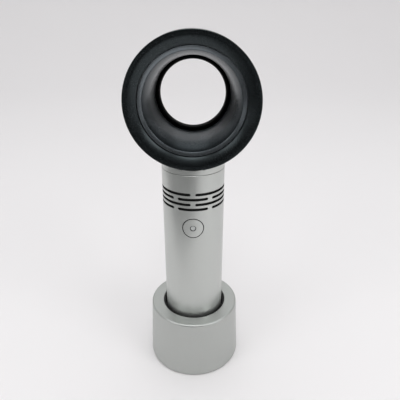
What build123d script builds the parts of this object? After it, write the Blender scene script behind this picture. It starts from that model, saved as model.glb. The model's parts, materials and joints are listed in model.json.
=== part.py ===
from build123d import *
import os
from math import cos, degrees, radians, sin, sqrt, tan

# Handheld bladeless fan standing in its round charging dock.
# Millimetres. Origin: centre of the dock on the table. +Z up, the fan blows towards -Y.

# ---- charging dock ----
dock_height = 39.6
dock_rim_width = 7.6  # flat top from the mouth to the outer edge
dock_flare = 1.7  # how much the wall spreads from top to bottom
dock_wall = 1.6
dock_top_thickness = 2.0
dock_edge_round = 1.1
mouth_room = 2.0  # between the handle and the edge of the mouth
mouth_round = 0.3
base_plate_thickness = 2.7
base_plate_gap = 0.15
foot_height = 0.3
foot_groove = 0.7
foot_inset = 3.3
foot_width = 4.5
dock_screw_count = 3
boss_radius = 2.2
boss_room = 1.1
boss_web = 1.2
boss_turn = -90.0  # the first boss stands at the front
weight_room = 1.1
weight_height = 6.0
weight_opening = 80.0  # degrees left open at the back for the charging inlet
weight_web_room = 1.2  # each side of the middle of a boss's web

# ---- socket in the dock ----
socket_floor_z = 12.0
socket_floor_thickness = 1.6
liner_room = 0.7  # radial room between handle and liner
liner_wall = 1.4
liner_flange = 1.4
liner_flange_width = 2.6
liner_floor_round = 0.4
lip_gap = 0.1  # the liner's lip stands inside the mouth
lip_drop = 0.5
lip_round = 0.25
guide_rib_count = 4
guide_rib_width = 2.0
guide_rib_height = 10.0
guide_rib_room = 0.4
guide_rib_turn = 45.0

# ---- dock electronics ----
dock_board_radius = 17.5
dock_board_thickness = 1.2
dock_board_tab = 14.0
board_post_count = 4
board_post_height = 0.6
board_post_radius = 1.5
board_post_turn = 45.0
board_tab_room = 0.6  # between the board's tab and the dock's wall
usb_width = 8.94
usb_height = 3.26
usb_length = 7.4
usb_wall = 0.35
usb_port_gap = 0.35
usb_inset = 1.0  # inlet mouth behind the dock's surface
usb_tongue_width = 6.7
usb_tongue_thickness = 0.7
contact_block_radius = 10.0
contact_block_floor = 0.6
pin_radius = 1.0
pin_tip_round = 0.6
pin_collar_radius = 1.4
pin_collar_height = 0.7
pin_travel = 0.9
pin_fit = 0.08
pin_hole_room = 0.35  # round the pins in the socket's floor
pin_circle = 6.5  # outer pin, behind the centre pin
spring_wire = 0.12
spring_pitch = 0.6

# ---- handle ----
handle_radius = 18.0
handle_wall = 1.5
seam_gap = 0.2
seam_chamfer = 0.1
fit_gap = 0.1  # radial room of pieces that plug into one another
slot_rows = 4
slot_drop = 10.95  # upper row of slots under the seam
slot_pitch = 3.0
slot_height = 1.6
slot_bridge = 2.6  # metal left between two slots of a row
middle_slot_length = 17.4

# ---- end cap and charging contacts under the handle ----
cap_flange = 2.2
cap_floor = 3.0
cap_chamfer = 1.0
cap_plug_length = 5.3
cap_plug_wall = 1.6
pad_recess = 1.0
pad_thickness = 0.8
pad_radius = 2.7
ring_pad_width = 3.6
pad_pin_gap = 0.05
stud_radius = 0.7
charge_board_thickness = 1.2
charge_board_lift = 1.2
cap_screw_inset = 2.45  # in from the edge of the charge board
cap_screw_recess = 1.9
cap_post_radius = 2.4

# ---- battery ----
cell_radius = 9.15
cell_length = 64.2
cell_round = 0.8
cell_nub_radius = 3.0
cell_nub_height = 1.0
contact_strip = 0.3
contact_strip_width = 4.0
contact_strip_reach = 6.4
contact_room = 1.6
cradle_gap = 0.35
cradle_wall = 1.5
cradle_plate = 2.0
cradle_lift = 2.4  # bottom plate above the charge board

# ---- power button and control board ----
button_lift = 8.55  # button's centre above the control board's lower edge
button_radius = 5.68
button_gap = 0.5
button_flange_radius = 7.2
button_flange = 0.7
button_flange_height = 10.0  # the flange has flat ends above and below
button_flange_depth = 3.4  # flange behind the handle's surface
button_travel = 0.5
lens_radius = 1.35
lens_gap = 0.42
lens_sink = 0.18
lens_lip = 0.75
lens_lip_thickness = 0.3
board_room = 3.2  # between the button's flange and the control board
control_board_thickness = 1.2
control_board_width = 21.0
control_board_height = 14.0
control_board_lift = 1.0
control_chip_size = 5.0
control_chip_height = 1.5
rail_width = 1.8
rail_depth = 4.0
rail_overlap = 0.8
switch_size = 4.5
switch_thickness = 1.6
switch_drop = 4.3  # switch centre under the button's centre
plunger_radius = 0.9
plunger_fit = 0.09
led_width = 1.6
led_height = 3.2
led_thickness = 1.0

# ---- motor ----
mount_plate = 2.0
mount_rim = 3.0
mount_rim_width = 1.8
filter_wall = 1.2  # foam sleeve behind the slots
spoke_count = 4
spoke_width = 3.0
spoke_turn = 45.0
pad_ring_thickness = 0.7
motor_radius = 9.5
motor_base_thickness = 1.5
motor_base_room = 0.5  # between base and turning bell
bell_height = 8.7
bell_wall = 0.7
magnet_thickness = 0.8
air_gap = 0.3
stator_height = 5.8
stator_teeth = 9
tooth_width = 1.6
winding = 0.4
shaft_radius = 1.0
shaft_fit = 0.05
press_fit = 0.01
bearing_radius = 2.5
bearing_height = 2.3
bearing_tube_wall = 0.9
motor_screw_count = 3
motor_screw_turn = 30.0
motor_screw_circle = 6.0
motor_screw_radius = 0.7

# ---- impeller and air duct ----
impeller_lift = 4.75  # impeller above the motor's bell
spigot_length = 7.2
spigot_wall = 1.2
housing_flange = 1.6
housing_wall = 1.3
tip_clearance = 0.4
impeller_height = 5.0
impeller_hub_radius = 6.5
impeller_nose_radius = 2.5
impeller_blades = 9
blade_thickness = 0.7
blade_pitch_angle = 38.0
diffuser_height = 2.6
diffuser_room = 0.4
vane_count = 7
vane_thickness = 0.8
tail_cone_height = 3.8
tail_cone_tip = 3.0

# ---- head ring, turned about an axis along Y ----
head_lift = 37.6  # ring's centre above the seam
throat_radius = 18.44
shell_front_step = 3.8  # front of the shell behind the front of the handle
shell_back_step = 0.6
shell_side_length = 5.2  # the side wall runs straight back, then curves in
shell_wall = 1.6
eye_rim = 4.16  # eye in the back of the shell outside the throat
back_rim = 1.4  # flat rim round the eye
bezel_band = 7.12  # dark front ring from the fine line to its outer edge
bezel_depth = 2.8  # its rim in front of the shell
bezel_round = 0.4
bezel_edge_round = 0.3
bezel_thickness = 1.6
bezel_seam = 0.15
crown_inset = 2.2  # the front is flat for this width before it slopes in to the line
crown_round = 4.0
shoulder_inset = 4.8  # where the slope grows steeper
shoulder_drop = 0.9
shoulder_round = 12.0
skirt_length = 4.9
skirt_wall = 1.4
skirt_gap = 0.2
seal_width = 1.0
seal_depth = 0.7
line_drop = 2.35  # fine dark line between bezel and funnel, behind the rim
line_gap = 0.46
line_round = 0.2
funnel_back_step = 2.41  # funnel's back edge outside the throat
funnel_mid_step = 2.2
funnel_lip_step = 2.55
funnel_lip_width = 2.28  # from the bell to the fine line
funnel_lip_drop = 0.85
funnel_lip_round = 0.6
funnel_mid_drop = 5.73
funnel_bell_round = 38.0
funnel_wall = 1.5
funnel_back_round = 0.3
funnel_flange_width = 1.6
funnel_flange = 1.2
throat_depth = 2.65  # narrowest place, in from the back of the shell
throat_curve = 4.0
throat_back_round = 1.5
nose_reach = 1.6  # the nose in front of the narrowest place
nose_wall = 0.9
nose_flare = 0.5
nose_round = 0.3
nose_foot = 1.2
air_slit_shift = 1.9  # funnel's back edge in front of the nose
throat_flange = 1.5
throat_flange_width = 1.4
spacer_count = 6
spacer_width = 0.8
spacer_turn = 30.0
neck_front_gap = 0.12
neck_lip = 0.35  # the neck's front edge stands this far up before the bezel's rim
neck_back_height = 6.65  # the neck's back wall starts to lean in above the seam
neck_ledge = 1.2

# ---- leads and screws ----
lead_radius = 0.6
lead_inset = 1.95  # in from the edge of the charge board
lead_room = 1.9  # behind the board rails
lead_spread = 5.4  # in from the control board's sides, where the leads end
lead_turn_height = 4.2  # above the control board's lower edge, where they turn in
lead_end_height = 8.4
lead_bend = 0.45  # share of the shorter run that a bend takes up
motor_lead_radius = 0.4
motor_lead_pitch = 2.0
screw_head_radius = 1.9
screw_head_height = 1.2
screw_shank_radius = 0.95
screw_hole_gap = 0.15
screw_bite = 6.0
cross_length = 2.1
cross_width = 0.54
over = 1.0  # how far a cutter runs past the face that it opens

# ---- sizes worked out from those above: dock ----
mouth_radius = handle_radius + mouth_room
dock_top_radius = mouth_radius + dock_rim_width
dock_bottom_radius = dock_top_radius + dock_flare
dock_bottom_z = foot_height
dock_under_top = dock_height - dock_top_thickness
plate_top = dock_bottom_z + base_plate_thickness
foot_outer_radius = dock_bottom_radius - foot_inset
foot_inner_radius = foot_outer_radius - foot_width
dock_board_z = plate_top + board_post_height
dock_board_top = dock_board_z + dock_board_thickness
weight_inner_radius = dock_board_radius + weight_room
liner_inner = handle_radius + liner_room
liner_outer = liner_inner + liner_wall
liner_bottom = socket_floor_z - socket_floor_thickness
dock_screw_circle = liner_outer + boss_room + boss_radius
dock_screw_seat = dock_bottom_z + foot_groove + screw_head_height
usb_z = dock_board_top + usb_height / 2
collar_top = liner_bottom - over
spring_floor = dock_board_top + contact_block_floor

# ---- handle, from its foot up to the seam ----
handle_bore = handle_radius - handle_wall
plug_radius = handle_bore - fit_gap
handle_bottom = socket_floor_z
tube_bottom = handle_bottom + cap_flange
cap_floor_top = handle_bottom + cap_floor
cap_plug_top = tube_bottom + cap_plug_length
cap_screw_seat = handle_bottom + cap_screw_recess
pad_face = handle_bottom + pad_recess
pin_top = pad_face - pad_pin_gap
ring_pad_inner = pin_circle - ring_pad_width / 2
ring_pad_outer = pin_circle + ring_pad_width / 2
charge_board_z = cap_floor_top + charge_board_lift
charge_board_top = charge_board_z + charge_board_thickness
charge_board_radius = plug_radius - cap_plug_wall - cradle_gap
cap_screw_offset = charge_board_radius - cap_screw_inset
lead_offset = charge_board_radius - lead_inset
cradle_bottom = charge_board_top + cradle_lift
cell_bottom = cradle_bottom + cradle_plate + contact_room
cell_top = cell_bottom + cell_length
cradle_top_plate = cell_top + cell_nub_height + contact_room
cradle_top = cradle_top_plate + cradle_plate
trough_inner = cell_radius + cradle_gap
trough_outer = trough_inner + cradle_wall
control_board_z = cradle_top + control_board_lift
button_flange_front = handle_radius - button_flange_depth
control_board_front = button_flange_front - board_room
lead_front = control_board_front - rail_depth - lead_room
button_z = control_board_z + button_lift
switch_z = button_z - switch_drop
flange_back = button_flange_front - button_flange
mount_z = control_board_z + control_board_height + control_board_lift
mount_top = mount_z + mount_plate
motor_z = mount_top + pad_ring_thickness
base_top = motor_z + motor_base_thickness
bell_bottom = base_top + motor_base_room
bell_top = bell_bottom + bell_height
magnet_outer = motor_radius - bell_wall
magnet_inner = magnet_outer - magnet_thickness
stator_radius = magnet_inner - air_gap
stator_z = bell_bottom + (bell_height - bell_wall - stator_height) / 2
bearing_tube_radius = bearing_radius + bearing_tube_wall
bearing_tube_top = stator_z + stator_height + motor_base_room
bearing_spans = [
    (motor_z + motor_base_room, motor_z + motor_base_room + bearing_height),
    (bearing_tube_top - motor_base_room - bearing_height, bearing_tube_top - motor_base_room),
]
impeller_z = bell_top + impeller_lift
impeller_top = impeller_z + impeller_height
diffuser_z = impeller_top + diffuser_room
diffuser_top = diffuser_z + diffuser_height
spigot_bottom = impeller_z
duct_radius = plug_radius - spigot_wall
housing_radius = duct_radius - fit_gap
housing_inner = housing_radius - housing_wall
impeller_radius = housing_inner - tip_clearance
neck_bottom = spigot_bottom + spigot_length
seam_z = neck_bottom - seam_gap
slot_top_z = seam_z - slot_drop

# ---- head, from the throat outwards and from the back to the front ----
head_z = seam_z + head_lift
neck_back_z = seam_z + neck_back_height
eye_radius = throat_radius + eye_rim
shell_back_radius = eye_radius + back_rim
funnel_back_radius = throat_radius + funnel_back_step
funnel_mid_radius = funnel_back_radius + funnel_mid_step
funnel_lip_radius = funnel_mid_radius + funnel_lip_step
line_radius = funnel_lip_radius + funnel_lip_width
bezel_radius = line_radius + bezel_band
crown_radius = bezel_radius - crown_inset
shoulder_radius = bezel_radius - shoulder_inset
shell_radius = bezel_radius
shell_inner = shell_radius - shell_wall
shell_front_y = shell_front_step - handle_radius
shell_back_y = handle_radius - shell_back_step
shell_straight_y = shell_front_y + shell_side_length
bezel_rim_y = shell_front_y - bezel_depth
shoulder_y = bezel_rim_y + shoulder_drop
line_y = bezel_rim_y + line_drop
funnel_lip_y = line_y + funnel_lip_drop
funnel_mid_y = funnel_lip_y + funnel_mid_drop
throat_y = shell_back_y - throat_depth
nose_y = throat_y - nose_reach
funnel_back_y = nose_y - air_slit_shift
bezel_slope = (bezel_rim_y - line_y) / (bezel_radius - line_radius)
skirt_radius = shell_inner - skirt_gap
skirt_end_y = shell_front_y + skirt_length
seal_y = shell_front_y + skirt_length / 2
funnel_edge_radius = line_radius - line_gap / 2
bezel_edge_radius = line_radius + line_gap / 2
funnel_flange_y = line_y + bezel_thickness + bezel_seam

UPWARD = (Align.CENTER, Align.CENTER, Align.MIN)
head_plane = Plane(origin=(0, 0, head_z), x_dir=(0, 0, 1), z_dir=(-1, 0, 0))
head_axis = Axis((0, 0, head_z), (0, 1, 0))


def dock_radius(z):
    # outer radius of the slightly conical dock wall at a height
    share = (z - dock_bottom_z) / (dock_height - dock_bottom_z)
    return dock_bottom_radius + (dock_top_radius - dock_bottom_radius) * share


def disc(radius, bottom, top):
    return Pos(0, 0, bottom) * Cylinder(radius, top - bottom, align=UPWARD)


def ring(outer, inner, bottom, top):
    return disc(outer, bottom, top) - disc(inner, bottom - over, top + over)


def block(x0, x1, y0, y1, z0, z1):
    centre = Pos((x0 + x1) / 2, (y0 + y1) / 2, (z0 + z1) / 2)
    return centre * Box(x1 - x0, y1 - y0, z1 - z0)


def rod(radius, x, z, y0, y1):
    # round bar along Y
    return Pos(x, (y0 + y1) / 2, z) * Rot(90, 0, 0) * Cylinder(radius, y1 - y0)


def outline(*corners):
    # closed outline; a corner is (x, y) or (x, y, rounding radius)
    points = [corner[:2] for corner in corners]
    rounds = [corner[2] if len(corner) > 2 else 0 for corner in corners]
    return make_face(FilletPolyline(*points, radius=rounds, close=True).edges())


def turned(*corners):
    # corners are (radius, height) about the handle's axis
    return revolve(Plane.XZ * outline(*corners), Axis.Z)


def turned_head(*corners):
    # corners are (radius, y) about the head's axis
    return revolve(head_plane * outline(*corners), head_axis)


def around(count, radius, first=0.0):
    # places spaced evenly on a circle about the handle's axis
    turn = 360.0 / count
    return [Rot(0, 0, first + turn * i) * Pos(radius, 0, 0) for i in range(count)]


def screw(head_z, length):
    # pan head screw standing on its head at head_z, with a cross recess in the head
    head = Cylinder(screw_head_radius, screw_head_height, align=UPWARD)
    shank = Pos(0, 0, screw_head_height) * Cylinder(screw_shank_radius, length, align=UPWARD)
    cross = Box(cross_length, cross_width, screw_head_height)
    cross += Box(cross_width, cross_length, screw_head_height)
    return Pos(0, 0, head_z) * (head + shank - cross)


def lead(radius, *points):
    # insulated wire through the points, its bends as wide as the runs allow
    runs = [(Vector(*b) - Vector(*a)) for a, b in zip(points, points[1:])]
    rounds = []
    for first, second in zip(runs, runs[1:]):
        turn = radians(first.get_angle(second))
        shorter = min(first.length, second.length)
        rounds.append(lead_bend * shorter / tan(turn / 2))
    path = FilletPolyline(*points, radius=rounds)
    start = Plane(origin=points[0], z_dir=runs[0])
    return sweep(start * Circle(radius), path)


# ================= dock =================

boss_places = around(dock_screw_count, dock_screw_circle, boss_turn)


def dock_shell():
    body = turned(
        (dock_bottom_radius, dock_bottom_z, dock_edge_round),
        (dock_top_radius, dock_height, dock_edge_round),
        (mouth_radius, dock_height, mouth_round),
        (mouth_radius, dock_under_top),
        (dock_radius(dock_under_top) - dock_wall, dock_under_top),
        (dock_bottom_radius - dock_wall, dock_bottom_z),
    )
    wall_middle = Pos(0, 0, plate_top) * Cone(
        dock_radius(plate_top) - dock_wall / 2,
        dock_radius(dock_under_top) - dock_wall / 2,
        dock_under_top - plate_top + over / 2,
        align=UPWARD,
    )
    for place in boss_places:
        boss = place * disc(boss_radius, plate_top, dock_under_top + over / 2)
        web_height = dock_under_top - plate_top
        web = place * Pos(0, 0, plate_top) * Box(
            dock_bottom_radius - dock_screw_circle, boss_web, web_height,
            align=(Align.MIN, Align.CENTER, Align.MIN),
        )
        body += boss + (web & wall_middle)
    for place in boss_places:
        body -= place * disc(screw_shank_radius, plate_top - over, plate_top + screw_bite + over)
    port = Plane.XZ * SlotOverall(usb_width + 2 * usb_port_gap, usb_height + 2 * usb_port_gap)
    body -= Pos(0, dock_bottom_radius + over, usb_z) * extrude(port, dock_bottom_radius / 2)
    return body


def socket_liner():
    flange_bottom = dock_under_top - liner_flange
    flange_radius = liner_outer + liner_flange_width
    lip_radius = mouth_radius - lip_gap
    lip_top = dock_height - lip_drop
    body = turned(
        (0, liner_bottom),
        (liner_outer, liner_bottom, liner_wall / 2),
        (liner_outer, flange_bottom),
        (flange_radius, flange_bottom),
        (flange_radius, dock_under_top),
        (lip_radius, dock_under_top),
        (lip_radius, lip_top, lip_round),
        (liner_inner, lip_top, lip_round),
        (liner_inner, socket_floor_z, liner_floor_round),
        (0, socket_floor_z),
    )
    for place in around(guide_rib_count, liner_inner, guide_rib_turn):
        rib_bottom = socket_floor_z - socket_floor_thickness / 2
        rib_top = socket_floor_z + guide_rib_height
        rib = place * block(-liner_room, liner_wall / 2, -guide_rib_width / 2, guide_rib_width / 2,
                            rib_bottom, rib_top)
        body += rib - disc(handle_radius + guide_rib_room, socket_floor_z, rib_top + over)
    for place in boss_places:
        body -= place * disc(boss_radius + base_plate_gap, liner_bottom, dock_height)
    pin_hole = disc(pin_radius + pin_hole_room, liner_bottom - over, socket_floor_z + over)
    for y in (0, pin_circle):
        body -= Pos(0, y, 0) * pin_hole
    return body


def dock_base_plate():
    radius = dock_radius(plate_top) - dock_wall - base_plate_gap
    body = disc(radius, dock_bottom_z, plate_top)
    groove_top = dock_bottom_z + foot_groove
    body -= ring(foot_outer_radius, foot_inner_radius, dock_bottom_z - over, groove_top)
    for place in boss_places:
        body -= place * disc(screw_head_radius + screw_hole_gap, dock_bottom_z, dock_screw_seat)
        body -= place * disc(screw_shank_radius + screw_hole_gap, dock_bottom_z, plate_top + over)
    for place in around(board_post_count, dock_board_radius - 2 * board_post_radius, board_post_turn):
        body += place * disc(board_post_radius, plate_top, dock_board_z)
    return body


def dock_foot_ring():
    groove_top = dock_bottom_z + foot_groove
    return ring(foot_outer_radius - fit_gap, foot_inner_radius + fit_gap, 0, groove_top)


def dock_screws():
    length = plate_top - dock_screw_seat + screw_bite
    one = screw(dock_screw_seat - screw_head_height, length)
    return [place * one for place in boss_places]


def dock_weight():
    outer = dock_radius(plate_top + weight_height) - dock_wall - base_plate_gap
    body = ring(outer, weight_inner_radius, plate_top, plate_top + weight_height)
    for place in boss_places:
        body -= place * disc(boss_radius + base_plate_gap, plate_top - over, dock_height)
        body -= place * block(0, dock_bottom_radius - dock_screw_circle, -weight_web_room,
                              weight_web_room, plate_top - over, dock_height)
    half = radians(weight_opening / 2)
    reach = 2 * dock_bottom_radius
    wedge = Polyline((0, 0), (reach * sin(half), reach * cos(half)),
                     (-reach * sin(half), reach * cos(half)), close=True)
    return body - Pos(0, 0, plate_top - over) * extrude(make_face(wedge.edges()), dock_height)


def dock_board():
    tab_end = dock_radius(usb_z) - dock_wall - board_tab_room
    body = disc(dock_board_radius, dock_board_z, dock_board_top)
    tab = block(-dock_board_tab / 2, dock_board_tab / 2, 0, tab_end, dock_board_z, dock_board_top)
    return body + (tab & disc(tab_end, dock_board_z, dock_board_top))


def usb_socket():
    mouth = dock_radius(usb_z) - usb_inset
    case = extrude(Plane.XZ * SlotOverall(usb_width, usb_height), usb_length)
    room = Plane.XZ * SlotOverall(usb_width - 2 * usb_wall, usb_height - 2 * usb_wall)
    case -= extrude(room, usb_length - usb_wall)
    case = Pos(0, mouth, usb_z) * case
    tongue = block(-usb_tongue_width / 2, usb_tongue_width / 2, mouth - usb_length + usb_wall / 2,
                   mouth - usb_wall * 2, usb_z - usb_tongue_thickness / 2,
                   usb_z + usb_tongue_thickness / 2)
    return case + tongue


def contact_block():
    body = disc(contact_block_radius, dock_board_top, liner_bottom)
    for y in (0, pin_circle):
        place = Pos(0, y, 0)
        body -= place * disc(pin_radius + pin_fit, spring_floor, liner_bottom + over)
        body -= place * disc(pin_collar_radius + pin_fit, spring_floor, collar_top)
    return body


def contact_springs():
    room_top = collar_top - pin_fit - pin_collar_height - pin_travel
    coil_radius = pin_collar_radius - 2 * spring_wire
    height = room_top - spring_floor - 2 * spring_wire - pin_fit
    path = Helix(spring_pitch, height, coil_radius)
    start = Plane(origin=path @ 0, z_dir=path % 0)
    coil = sweep(start * Circle(spring_wire), path, is_frenet=True)
    return [Pos(0, y, spring_floor + spring_wire) * coil for y in (0, pin_circle)]


def contact_pin(y):
    collar = collar_top - pin_fit
    pin = turned(
        (0, collar - pin_collar_height),
        (pin_collar_radius, collar - pin_collar_height),
        (pin_collar_radius, collar),
        (pin_radius, collar),
        (pin_radius, pin_top, pin_tip_round),
        (0, pin_top),
    )
    return Pos(0, y, 0) * pin


# ================= handle =================

cap_screw_places = [Pos(x, 0, 0) for x in (-cap_screw_offset, cap_screw_offset)]
stud_places = [Pos(0, 0, 0), Pos(0, pin_circle, 0)]
lead_places = [Pos(x, -lead_front, 0) for x in (-lead_offset, lead_offset)]


def slot(z, start, end):
    # rounded slot through the handle's wall, angles in degrees from the front
    half_turn = degrees(slot_height / 2 / handle_radius)
    inner = handle_bore - over
    outer = handle_radius + over
    face = Plane.XZ * Pos((inner + outer) / 2, z) * Rectangle(outer - inner, slot_height)
    turn = end - start - 2 * half_turn
    cutter = Rot(0, 0, start + half_turn - 90) * revolve(face, Axis.Z, turn)
    tip = Rot(0, 90, 0) * Cylinder(slot_height / 2, outer - inner)
    for angle in (start + half_turn, end - half_turn):
        cutter += Rot(0, 0, angle - 90) * Pos((inner + outer) / 2, 0, z) * tip
    return cutter


def intake_slots():
    bridge = degrees(slot_bridge / handle_radius)
    middle = degrees(middle_slot_length / 2 / handle_radius)
    cutters = []
    for row in range(slot_rows):
        z = slot_top_z - row * slot_pitch
        side_end = 90 - bridge / 2
        if row % 2 == 0:
            spans = [(bridge / 2, side_end), (-side_end, -bridge / 2)]
        else:
            spans = [(-middle, middle), (middle + bridge, side_end), (-side_end, -middle - bridge)]
        for start, end in spans:
            cutters.append(slot(z, start, end))
            cutters.append(slot(z, start + 180, end + 180))
    return cutters


def handle_tube():
    body = turned(
        (handle_bore, tube_bottom),
        (handle_radius, tube_bottom),
        (handle_radius, seam_z - seam_chamfer),
        (handle_radius - seam_chamfer, seam_z),
        (handle_bore, seam_z),
    )
    for cutter in intake_slots():
        body -= cutter
    hole_end = -button_flange_front / 2
    return body - rod(button_radius + button_gap, 0, button_z, -handle_radius - over, hole_end)


def end_cap():
    plug_inner = plug_radius - cap_plug_wall
    body = turned(
        (0, handle_bottom),
        (handle_radius - cap_chamfer, handle_bottom),
        (handle_radius, handle_bottom + cap_chamfer),
        (handle_radius, tube_bottom),
        (plug_radius, tube_bottom),
        (plug_radius, cap_plug_top),
        (plug_inner, cap_plug_top),
        (plug_inner, cap_floor_top),
        (0, cap_floor_top),
    )
    pocket_top = pad_face + pad_thickness
    body -= disc(pad_radius + fit_gap, handle_bottom - over, pocket_top)
    body -= ring(ring_pad_outer + fit_gap, ring_pad_inner - fit_gap, handle_bottom - over, pocket_top)
    for place in stud_places:
        body -= place * disc(stud_radius + fit_gap, handle_bottom, charge_board_z)
    for place in cap_screw_places:
        body += place * disc(cap_post_radius, cap_floor_top, charge_board_z)
        body -= place * disc(screw_head_radius + screw_hole_gap, handle_bottom - over, cap_screw_seat)
        body -= place * disc(screw_shank_radius + screw_hole_gap, handle_bottom, charge_board_z + over)
    return body


def charge_pad_centre():
    body = disc(pad_radius, pad_face, pad_face + pad_thickness)
    return body + disc(stud_radius, pad_face, charge_board_z)


def charge_pad_ring():
    body = ring(ring_pad_outer, ring_pad_inner, pad_face, pad_face + pad_thickness)
    return body + stud_places[1] * disc(stud_radius, pad_face, charge_board_z)


def end_cap_screws():
    length = cradle_bottom + cradle_plate - cap_screw_seat
    one = screw(cap_screw_seat - screw_head_height, length)
    return [place * one for place in cap_screw_places]


def charge_board():
    body = disc(charge_board_radius, charge_board_z, charge_board_top)
    for place in cap_screw_places:
        body -= place * disc(screw_shank_radius + screw_hole_gap, cap_floor_top, cradle_bottom)
    return body


def battery_cradle():
    body = disc(plug_radius - fit_gap, cradle_bottom, cradle_bottom + cradle_plate)
    body += disc(plug_radius - fit_gap, cradle_top_plate, cradle_top)
    trough = ring(trough_outer, trough_inner, cradle_bottom + cradle_plate / 2, cradle_top)
    body += trough - block(-handle_radius, handle_radius, -handle_radius, 0, 0, cradle_top + over)
    body -= disc(trough_inner, cradle_bottom + cradle_plate, cradle_top_plate)
    for place in cap_screw_places:
        body += place * disc(cap_post_radius, charge_board_top, cradle_bottom + over)
        body -= place * disc(screw_shank_radius + screw_hole_gap, charge_board_z,
                             cradle_bottom + cradle_plate + over)
    for place in lead_places:
        body -= place * disc(lead_radius + screw_hole_gap, charge_board_z, cradle_top + over)
    half = contact_strip_width / 2 + fit_gap
    floor_z = cradle_bottom + cradle_plate
    strip_back = trough_outer + contact_strip + 2 * fit_gap
    strip_top = floor_z + contact_strip + fit_gap
    body -= block(-half, half, trough_inner - over, strip_back, floor_z, strip_top)
    return body - block(-half, half, trough_outer, strip_back, floor_z, cradle_top + over)


def battery_cell():
    return turned(
        (0, cell_bottom),
        (cell_radius, cell_bottom, cell_round),
        (cell_radius, cell_top, cell_round),
        (cell_nub_radius, cell_top),
        (cell_nub_radius, cell_top + cell_nub_height),
        (0, cell_top + cell_nub_height),
    )


def battery_contact_bottom():
    # bowed spring leaf under the cell, and its tail up the back of the cradle
    half = contact_strip_width / 2
    floor_z = cradle_bottom + cradle_plate
    leaf = Plane.YZ * make_face(Polyline(
        (-contact_strip_reach, floor_z),
        (0, cell_bottom - contact_strip),
        (contact_strip_reach, floor_z),
        (contact_strip_reach, floor_z + contact_strip),
        (0, cell_bottom),
        (-contact_strip_reach, floor_z + contact_strip),
        close=True,
    ).edges())
    body = extrude(leaf, half, both=True)
    back = trough_outer + fit_gap + contact_strip
    foot = block(-half, half, contact_strip_reach - over, back, floor_z, floor_z + contact_strip)
    tail = block(-half, half, back - contact_strip, back, floor_z, cradle_top + over)
    return body + foot + tail


def battery_contact_top():
    half = contact_strip_width / 2
    low = cell_top + cell_nub_height
    body = block(-half, half, -contact_strip_reach, contact_strip_reach, low, low + contact_strip)
    end = -contact_strip_reach
    return body + block(-half, half, end, end + contact_strip, low, cradle_top_plate)


def board_rails():
    # two grooved rails that hold the control board and carry the motor mount
    half = control_board_width / 2
    front = -control_board_front - rail_overlap
    back = -control_board_front + rail_depth
    rail_foot = cradle_top
    body = []
    for side in (-1, 1):
        inner = half - rail_overlap
        x0, x1 = sorted((side * inner, side * (half + rail_width)))
        rail = block(x0, x1, front, back, rail_foot, mount_z)
        rail = rail & disc(plug_radius - fit_gap, rail_foot, mount_z)
        groove_x = sorted((side * (inner - over), side * (half + fit_gap)))
        rail -= block(groove_x[0], groove_x[1], -control_board_front - fit_gap,
                      -control_board_front + control_board_thickness + fit_gap,
                      control_board_z - fit_gap, mount_z - control_board_lift)
        body.append(rail)
    return body


def control_board():
    half = control_board_width / 2
    return block(-half, half, -control_board_front, -control_board_front + control_board_thickness,
                 control_board_z, control_board_z + control_board_height)


def control_chip():
    back = -control_board_front + control_board_thickness
    middle = control_board_z + control_board_height / 2
    half = control_chip_size / 2
    return block(-half, half, back, back + control_chip_height, middle - half, middle + half)


def tact_switch():
    half = switch_size / 2
    back = -control_board_front
    front = back - switch_thickness
    body = block(-half, half, front, back, switch_z - half, switch_z + half)
    return body - rod(plunger_radius + plunger_fit, 0, switch_z, front - over, back - fit_gap)


def indicator_led():
    front = -control_board_front - led_thickness
    return block(-led_height / 2, led_height / 2, front, -control_board_front,
                 button_z - led_width / 2, button_z + led_width / 2)


def charge_leads():
    # pair from the charge board up both sides of the cell to the back of the control board
    back = -control_board_front + control_board_thickness
    x_end = control_board_width / 2 - lead_spread
    z_bend = control_board_z + lead_turn_height
    z_end = control_board_z + lead_end_height
    wires = []
    for side in (-1, 1):
        wires.append(lead(
            lead_radius,
            (side * lead_offset, -lead_front, charge_board_top),
            (side * lead_offset, -lead_front, z_bend),
            (side * x_end, back + 4 * lead_radius, z_end),
            (side * x_end, back, z_end),
        ))
    return wires


# ================= power button =================

def power_button():
    shaft = rod(button_radius, 0, button_z, -handle_radius - over, -flange_back)
    half = button_flange_height / 2
    flange = rod(button_flange_radius, 0, button_z, -button_flange_front, -flange_back)
    flange = flange & disc(handle_radius, button_z - half, button_z + half)
    body = (shaft & disc(handle_radius, tube_bottom, seam_z)) + flange
    return body - rod(lens_radius + lens_gap, 0, button_z, -handle_radius - over, -flange_back + over)


def button_lens():
    lens_back = flange_back - lens_lip_thickness
    pin = rod(lens_radius, 0, button_z, -handle_radius - over, -lens_back)
    lip = rod(lens_radius + lens_lip, 0, button_z, -flange_back, -lens_back)
    return (pin & disc(handle_radius - lens_sink, tube_bottom, seam_z)) + lip


def switch_plunger():
    back = control_board_front + button_travel + fit_gap + plunger_fit
    return rod(plunger_radius, 0, switch_z, -flange_back, -back)


# ================= motor and impeller =================

motor_screw_places = around(motor_screw_count, motor_screw_circle, motor_screw_turn)


def motor_mount():
    rim = plug_radius - fit_gap
    body = disc(motor_radius, mount_z, mount_top)
    body += ring(rim, rim - mount_rim_width, mount_z, mount_z + mount_rim)
    for place in around(spoke_count, 0, spoke_turn):
        body += place * block(0, plug_radius - mount_rim_width, -spoke_width / 2, spoke_width / 2,
                              mount_z, mount_top)
    body -= disc(bearing_tube_radius, mount_z - over, mount_top + over)
    for place in motor_screw_places:
        body -= place * disc(motor_screw_radius + screw_hole_gap, mount_z - over, mount_top + over)
    return body


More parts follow.
